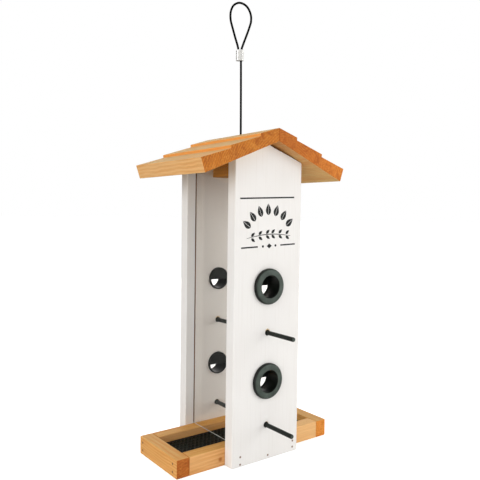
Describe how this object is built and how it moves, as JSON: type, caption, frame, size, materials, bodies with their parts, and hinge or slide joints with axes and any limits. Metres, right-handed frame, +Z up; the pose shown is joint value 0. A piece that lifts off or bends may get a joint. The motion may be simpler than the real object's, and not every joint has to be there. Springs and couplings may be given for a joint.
{
  "type": "hanging bird feeder",
  "caption": "Hanging hopper bird feeder: two white gabled boards, clear side panes, black seed ports, perch rods, screened cedar tray and a cedar roof that slides up its looped cable.",
  "frame": {"origin": "on the ground plane under the feeder, midway between the two walls, on the hanging cable's axis", "axes": "+Z up along the cable, +X to the right along the tray, -Y the front wall with the ornament; metres"},
  "size_m": [0.2032, 0.187, 0.4943],
  "materials": {
    "painted_wood": "white paint over fine cedar grain, satin, brush marks along the boards",
    "tray_cedar": "clear-sealed golden cedar, satin",
    "roof_cedar": "clear-sealed cedar, end grain at front and back",
    "block_cedar": "unfinished cedar",
    "clear_acrylic": "clear polished acrylic sheet",
    "black_plastic": "moulded, fine satin sheen",
    "black_rod": "black coated rod, satin",
    "black_rubber": "matte",
    "black_mesh": "black coated perforated screen",
    "black_vinyl": "vinyl coating over twisted wire rope",
    "bright_metal": "bright, crimped",
    "brown_steel": "small brown brad heads"
  },
  "bodies": {
    "hopper": {"back_wall": "painted_wood", "cable_ferrule": "bright_metal", "cable_stop": "bright_metal", "cable_washer": "bright_metal", "cross_block": "block_cedar", "front_wall": "painted_wood", "hanging_cable": "black_vinyl", "perch_bush_back_lower": "black_rubber", "perch_bush_back_upper": "black_rubber", "perch_bush_front_lower": "black_rubber", "perch_bush_front_upper": "black_rubber", "perch_lower": "black_rod", "perch_upper": "black_rod", "port_back_lower": "black_plastic", "port_back_upper": "black_plastic", "port_front_lower": "black_plastic", "port_front_upper": "black_plastic", "tray_back_rail": "tray_cedar", "tray_front_rail": "tray_cedar", "tray_left_rail": "tray_cedar", "tray_nail_back_left_lower": "brown_steel", "tray_nail_back_left_upper": "brown_steel", "tray_nail_back_right_lower": "brown_steel", "tray_nail_back_right_upper": "brown_steel", "tray_nail_front_left_lower": "brown_steel", "tray_nail_front_left_upper": "brown_steel", "tray_nail_front_right_lower": "brown_steel", "tray_nail_front_right_upper": "brown_steel", "tray_right_rail": "tray_cedar", "tray_screen": "black_mesh", "wall_nail_back_1": "brown_steel", "wall_nail_back_2": "brown_steel", "wall_nail_back_3": "brown_steel", "wall_nail_back_4": "brown_steel", "wall_nail_back_5": "brown_steel", "wall_nail_front_1": "brown_steel", "wall_nail_front_2": "brown_steel", "wall_nail_front_3": "brown_steel", "wall_nail_front_4": "brown_steel", "wall_nail_front_5": "brown_steel"},
    "roof": {"roof_left": "roof_cedar", "roof_right": "roof_cedar"},
    "left_pane": {"left_pane": "clear_acrylic"},
    "right_pane": {"right_pane": "clear_acrylic"}
  },
  "joints": [
    {"name": "roof_lift", "type": "slide", "parent": "hopper", "child": "roof", "axis": [0, 0, 1], "range_m": [0, 0.08]},
    {"name": "left_pane_slide", "type": "slide", "parent": "hopper", "child": "left_pane", "axis": [0, 0, 1], "range_m": [0, 0.011]},
    {"name": "right_pane_slide", "type": "slide", "parent": "hopper", "child": "right_pane", "axis": [0, 0, 1], "range_m": [0, 0.011]}
  ]
}
